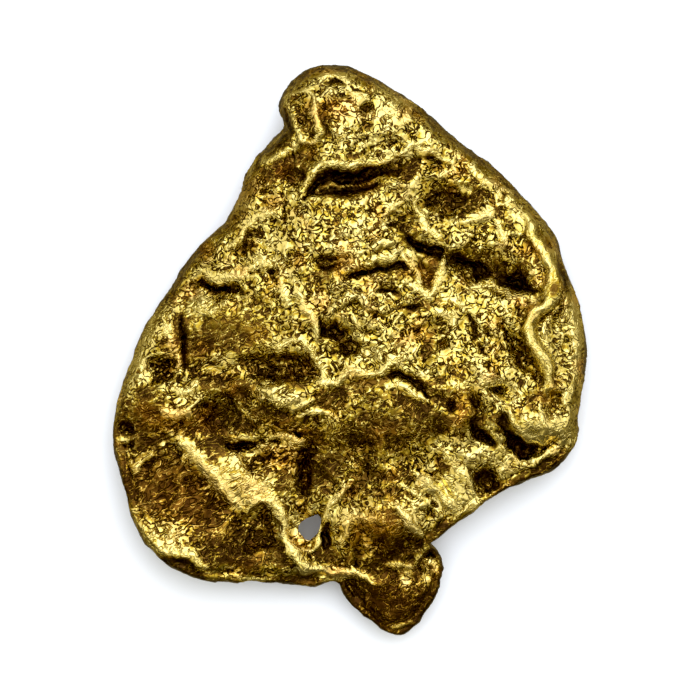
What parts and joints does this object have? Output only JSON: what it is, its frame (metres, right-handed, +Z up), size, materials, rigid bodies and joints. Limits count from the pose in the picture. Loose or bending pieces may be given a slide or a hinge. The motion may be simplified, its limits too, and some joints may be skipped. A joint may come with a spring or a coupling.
{
  "type": "gold nugget",
  "caption": "Flat water-worn placer gold nugget with a knobbed top, creased and pitted face, rounded edges, a small natural hole and a short tail.",
  "frame": {"origin": "centre of the bounding box in plan, on the plane the nugget rests on", "axes": "+Z up from the resting plane, the thin way of the nugget; +Y along its length, from the tail with the hole towards the knob; +X to the right seen from above"},
  "size_m": [0.0132, 0.016, 0.003],
  "materials": {
    "gold": "native gold, water-worn satin with a granular, pitted texture and darker hollows"
  },
  "bodies": {
    "root": {"nugget": "gold"}
  },
  "joints": []
}
